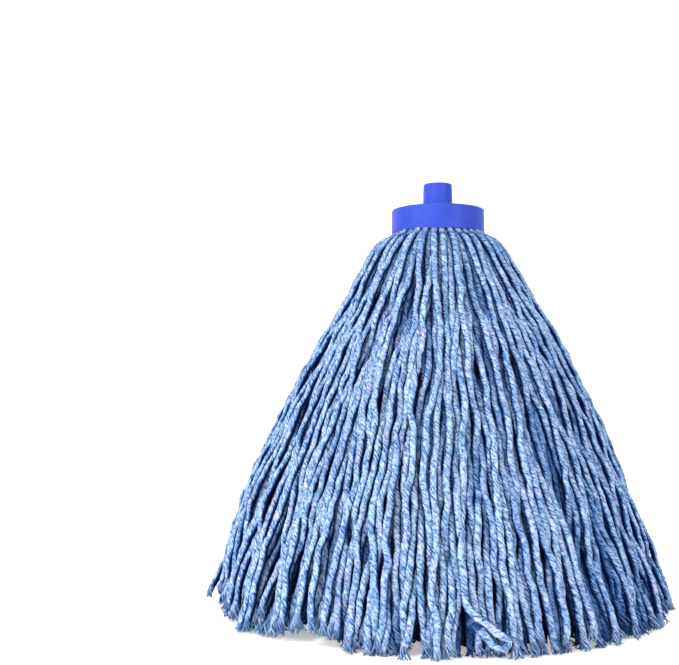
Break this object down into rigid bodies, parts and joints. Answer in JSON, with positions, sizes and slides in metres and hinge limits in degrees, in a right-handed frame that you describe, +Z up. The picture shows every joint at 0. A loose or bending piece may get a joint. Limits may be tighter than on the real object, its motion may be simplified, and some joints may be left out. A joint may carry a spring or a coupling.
{
  "type": "string mop",
  "caption": "Refill head of a string mop: round plastic socket cap with a threaded boss over a full skirt of twisted cotton yarn that swings in locks.",
  "frame": {"origin": "on the floor under the middle of the head, which stands upright on its spread yarn", "axes": "+Z up along the handle's axis, out of the threaded boss; X and Y are alike, because the head is round"},
  "size_m": [0.408, 0.408, 0.364],
  "materials": {
    "socket_plastic": "satin",
    "ring_plastic": "satin",
    "steel": "satin",
    "binding_cotton": "matte",
    "yarn": "matte"
  },
  "bodies": {
    "ferrule": {"socket_cap": "socket_plastic", "retaining_ring": "ring_plastic", "clamp_washer": "steel", "clamp_screw": "steel", "binding_cord": "binding_cotton", "yarn_head": "yarn", "yarn_neck": "yarn", "yarn_core": "yarn"},
    "lock_01": {"yarn_lock_01": "yarn"},
    "lock_02": {"yarn_lock_02": "yarn"},
    "lock_03": {"yarn_lock_03": "yarn"},
    "lock_04": {"yarn_lock_04": "yarn"},
    "lock_05": {"yarn_lock_05": "yarn"},
    "lock_06": {"yarn_lock_06": "yarn"},
    "lock_07": {"yarn_lock_07": "yarn"},
    "lock_08": {"yarn_lock_08": "yarn"},
    "lock_09": {"yarn_lock_09": "yarn"},
    "lock_10": {"yarn_lock_10": "yarn"},
    "lock_11": {"yarn_lock_11": "yarn"},
    "lock_12": {"yarn_lock_12": "yarn"}
  },
  "joints": [
    {"name": "lock_01_swing", "type": "hinge", "parent": "ferrule", "child": "lock_01", "pos_m": [0.03477, 0.00932, 0.318], "axis": [0.2588, -0.9659, 0], "range_deg": [0, 35]},
    {"name": "lock_02_swing", "type": "hinge", "parent": "ferrule", "child": "lock_02", "pos_m": [0.02546, 0.02546, 0.318], "axis": [0.7071, -0.7071, 0], "range_deg": [0, 35]},
    {"name": "lock_03_swing", "type": "hinge", "parent": "ferrule", "child": "lock_03", "pos_m": [0.00932, 0.03477, 0.318], "axis": [0.9659, -0.2588, 0], "range_deg": [0, 35]},
    {"name": "lock_04_swing", "type": "hinge", "parent": "ferrule", "child": "lock_04", "pos_m": [-0.00932, 0.03477, 0.318], "axis": [0.9659, 0.2588, 0], "range_deg": [0, 35]},
    {"name": "lock_05_swing", "type": "hinge", "parent": "ferrule", "child": "lock_05", "pos_m": [-0.02546, 0.02546, 0.318], "axis": [0.7071, 0.7071, 0], "range_deg": [0, 35]},
    {"name": "lock_06_swing", "type": "hinge", "parent": "ferrule", "child": "lock_06", "pos_m": [-0.03477, 0.00932, 0.318], "axis": [0.2588, 0.9659, 0], "range_deg": [0, 35]},
    {"name": "lock_07_swing", "type": "hinge", "parent": "ferrule", "child": "lock_07", "pos_m": [-0.03477, -0.00932, 0.318], "axis": [-0.2588, 0.9659, 0], "range_deg": [0, 35]},
    {"name": "lock_08_swing", "type": "hinge", "parent": "ferrule", "child": "lock_08", "pos_m": [-0.02546, -0.02546, 0.318], "axis": [-0.7071, 0.7071, 0], "range_deg": [0, 35]},
    {"name": "lock_09_swing", "type": "hinge", "parent": "ferrule", "child": "lock_09", "pos_m": [-0.00932, -0.03477, 0.318], "axis": [-0.9659, 0.2588, 0], "range_deg": [0, 35]},
    {"name": "lock_10_swing", "type": "hinge", "parent": "ferrule", "child": "lock_10", "pos_m": [0.00932, -0.03477, 0.318], "axis": [-0.9659, -0.2588, 0], "range_deg": [0, 35]},
    {"name": "lock_11_swing", "type": "hinge", "parent": "ferrule", "child": "lock_11", "pos_m": [0.02546, -0.02546, 0.318], "axis": [-0.7071, -0.7071, 0], "range_deg": [0, 35]},
    {"name": "lock_12_swing", "type": "hinge", "parent": "ferrule", "child": "lock_12", "pos_m": [0.03477, -0.00932, 0.318], "axis": [-0.2588, -0.9659, 0], "range_deg": [0, 35]}
  ]
}
